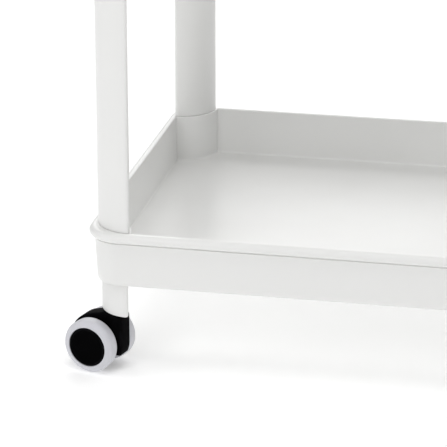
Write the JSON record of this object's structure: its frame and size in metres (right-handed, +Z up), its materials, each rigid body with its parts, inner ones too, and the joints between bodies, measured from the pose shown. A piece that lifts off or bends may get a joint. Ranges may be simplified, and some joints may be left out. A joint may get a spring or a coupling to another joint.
{
  "type": "rolling salon trolley",
  "caption": "Rolling salon trolley with open plastic trays joined by leaf-section corner posts, on swivelling twin-wheel casters.",
  "frame": {"origin": "on the floor, under the middle of the trays", "axes": "+X to the trolley's right along its long side, +Y to its back, +Z up"},
  "size_m": [0.5418, 0.3744, 0.8132],
  "materials": {
    "white_plastic": "smooth glossy moulded plastic",
    "black_plastic": "satin black nylon",
    "grey_tyre": "pale grey soft polyurethane",
    "steel": "bright zinc-plated steel"
  },
  "bodies": {
    "root": {"bottom_tray": "white_plastic", "middle_tray": "white_plastic", "top_tray": "white_plastic", "lower_post_front_left": "white_plastic", "lower_post_front_right": "white_plastic", "lower_post_back_right": "white_plastic", "lower_post_back_left": "white_plastic", "upper_post_front_left": "white_plastic", "upper_post_front_right": "white_plastic", "upper_post_back_right": "white_plastic", "upper_post_back_left": "white_plastic", "leg_front_left": "white_plastic", "leg_front_right": "white_plastic", "leg_back_right": "white_plastic", "leg_back_left": "white_plastic", "top_plug_front_left": "white_plastic", "top_plug_front_right": "white_plastic", "top_plug_back_right": "white_plastic", "top_plug_back_left": "white_plastic", "caster_front_left_sleeve": "black_plastic", "caster_front_left_stem": "steel", "caster_front_right_sleeve": "black_plastic", "caster_front_right_stem": "steel", "caster_back_right_sleeve": "black_plastic", "caster_back_right_stem": "steel", "caster_back_left_sleeve": "black_plastic", "caster_back_left_stem": "steel"},
    "swivel_front_left": {"caster_front_left_hood": "black_plastic", "caster_front_left_axle": "steel"},
    "wheel_front_left_left": {"caster_front_left_left_wheel": "black_plastic", "caster_front_left_left_hub_cap": "black_plastic", "caster_front_left_left_tyre": "grey_tyre"},
    "wheel_front_left_right": {"caster_front_left_right_wheel": "black_plastic", "caster_front_left_right_hub_cap": "black_plastic", "caster_front_left_right_tyre": "grey_tyre"},
    "swivel_front_right": {"caster_front_right_hood": "black_plastic", "caster_front_right_axle": "steel"},
    "wheel_front_right_left": {"caster_front_right_left_wheel": "black_plastic", "caster_front_right_left_hub_cap": "black_plastic", "caster_front_right_left_tyre": "grey_tyre"},
    "wheel_front_right_right": {"caster_front_right_right_wheel": "black_plastic", "caster_front_right_right_hub_cap": "black_plastic", "caster_front_right_right_tyre": "grey_tyre"},
    "swivel_back_right": {"caster_back_right_hood": "black_plastic", "caster_back_right_axle": "steel"},
    "wheel_back_right_left": {"caster_back_right_left_wheel": "black_plastic", "caster_back_right_left_hub_cap": "black_plastic", "caster_back_right_left_tyre": "grey_tyre"},
    "wheel_back_right_right": {"caster_back_right_right_wheel": "black_plastic", "caster_back_right_right_hub_cap": "black_plastic", "caster_back_right_right_tyre": "grey_tyre"},
    "swivel_back_left": {"caster_back_left_hood": "black_plastic", "caster_back_left_axle": "steel"},
    "wheel_back_left_left": {"caster_back_left_left_wheel": "black_plastic", "caster_back_left_left_hub_cap": "black_plastic", "caster_back_left_left_tyre": "grey_tyre"},
    "wheel_back_left_right": {"caster_back_left_right_wheel": "black_plastic", "caster_back_left_right_hub_cap": "black_plastic", "caster_back_left_right_tyre": "grey_tyre"}
  },
  "joints": [
    {"name": "swivel_front_left", "type": "hinge", "parent": "root", "child": "swivel_front_left", "pos_m": [-0.2276, -0.1636, 0.0518], "axis": [0, 0, 1], "continuous": true},
    {"name": "roll_front_left_left", "type": "hinge", "parent": "swivel_front_left", "child": "wheel_front_left_left", "pos_m": [-0.24706, -0.1756, 0.0236], "axis": [-0.2756, -0.9613, 0], "continuous": true},
    {"name": "roll_front_left_right", "type": "hinge", "parent": "swivel_front_left", "child": "wheel_front_left_right", "pos_m": [-0.23775, -0.14311, 0.0236], "axis": [-0.2756, -0.9613, 0], "continuous": true},
    {"name": "swivel_front_right", "type": "hinge", "parent": "root", "child": "swivel_front_right", "pos_m": [0.2276, -0.1636, 0.0518], "axis": [0, 0, 1], "continuous": true},
    {"name": "roll_front_right_left", "type": "hinge", "parent": "swivel_front_right", "child": "wheel_front_right_left", "pos_m": [0.23629, -0.14245, 0.0236], "axis": [-0.342, 0.9397, 0], "continuous": true},
    {"name": "roll_front_right_right", "type": "hinge", "parent": "swivel_front_right", "child": "wheel_front_right_right", "pos_m": [0.24785, -0.17421, 0.0236], "axis": [-0.342, 0.9397, 0], "continuous": true},
    {"name": "swivel_back_right", "type": "hinge", "parent": "root", "child": "swivel_back_right", "pos_m": [0.2276, 0.1636, 0.0518], "axis": [0, 0, 1], "continuous": true},
    {"name": "roll_back_right_left", "type": "hinge", "parent": "swivel_back_right", "child": "wheel_back_right_left", "pos_m": [0.24663, 0.17627, 0.0236], "axis": [0.2419, 0.9703, 0], "continuous": true},
    {"name": "roll_back_right_right", "type": "hinge", "parent": "swivel_back_right", "child": "wheel_back_right_right", "pos_m": [0.23845, 0.14348, 0.0236], "axis": [0.2419, 0.9703, 0], "continuous": true},
    {"name": "swivel_back_left", "type": "hinge", "parent": "root", "child": "swivel_back_left", "pos_m": [-0.2276, 0.1636, 0.0518], "axis": [0, 0, 1], "continuous": true},
    {"name": "roll_back_left_left", "type": "hinge", "parent": "swivel_back_left", "child": "wheel_back_left_left", "pos_m": [-0.23629, 0.14245, 0.0236], "axis": [0.342, -0.9397, 0], "continuous": true},
    {"name": "roll_back_left_right", "type": "hinge", "parent": "swivel_back_left", "child": "wheel_back_left_right", "pos_m": [-0.24785, 0.17421, 0.0236], "axis": [0.342, -0.9397, 0], "continuous": true}
  ]
}
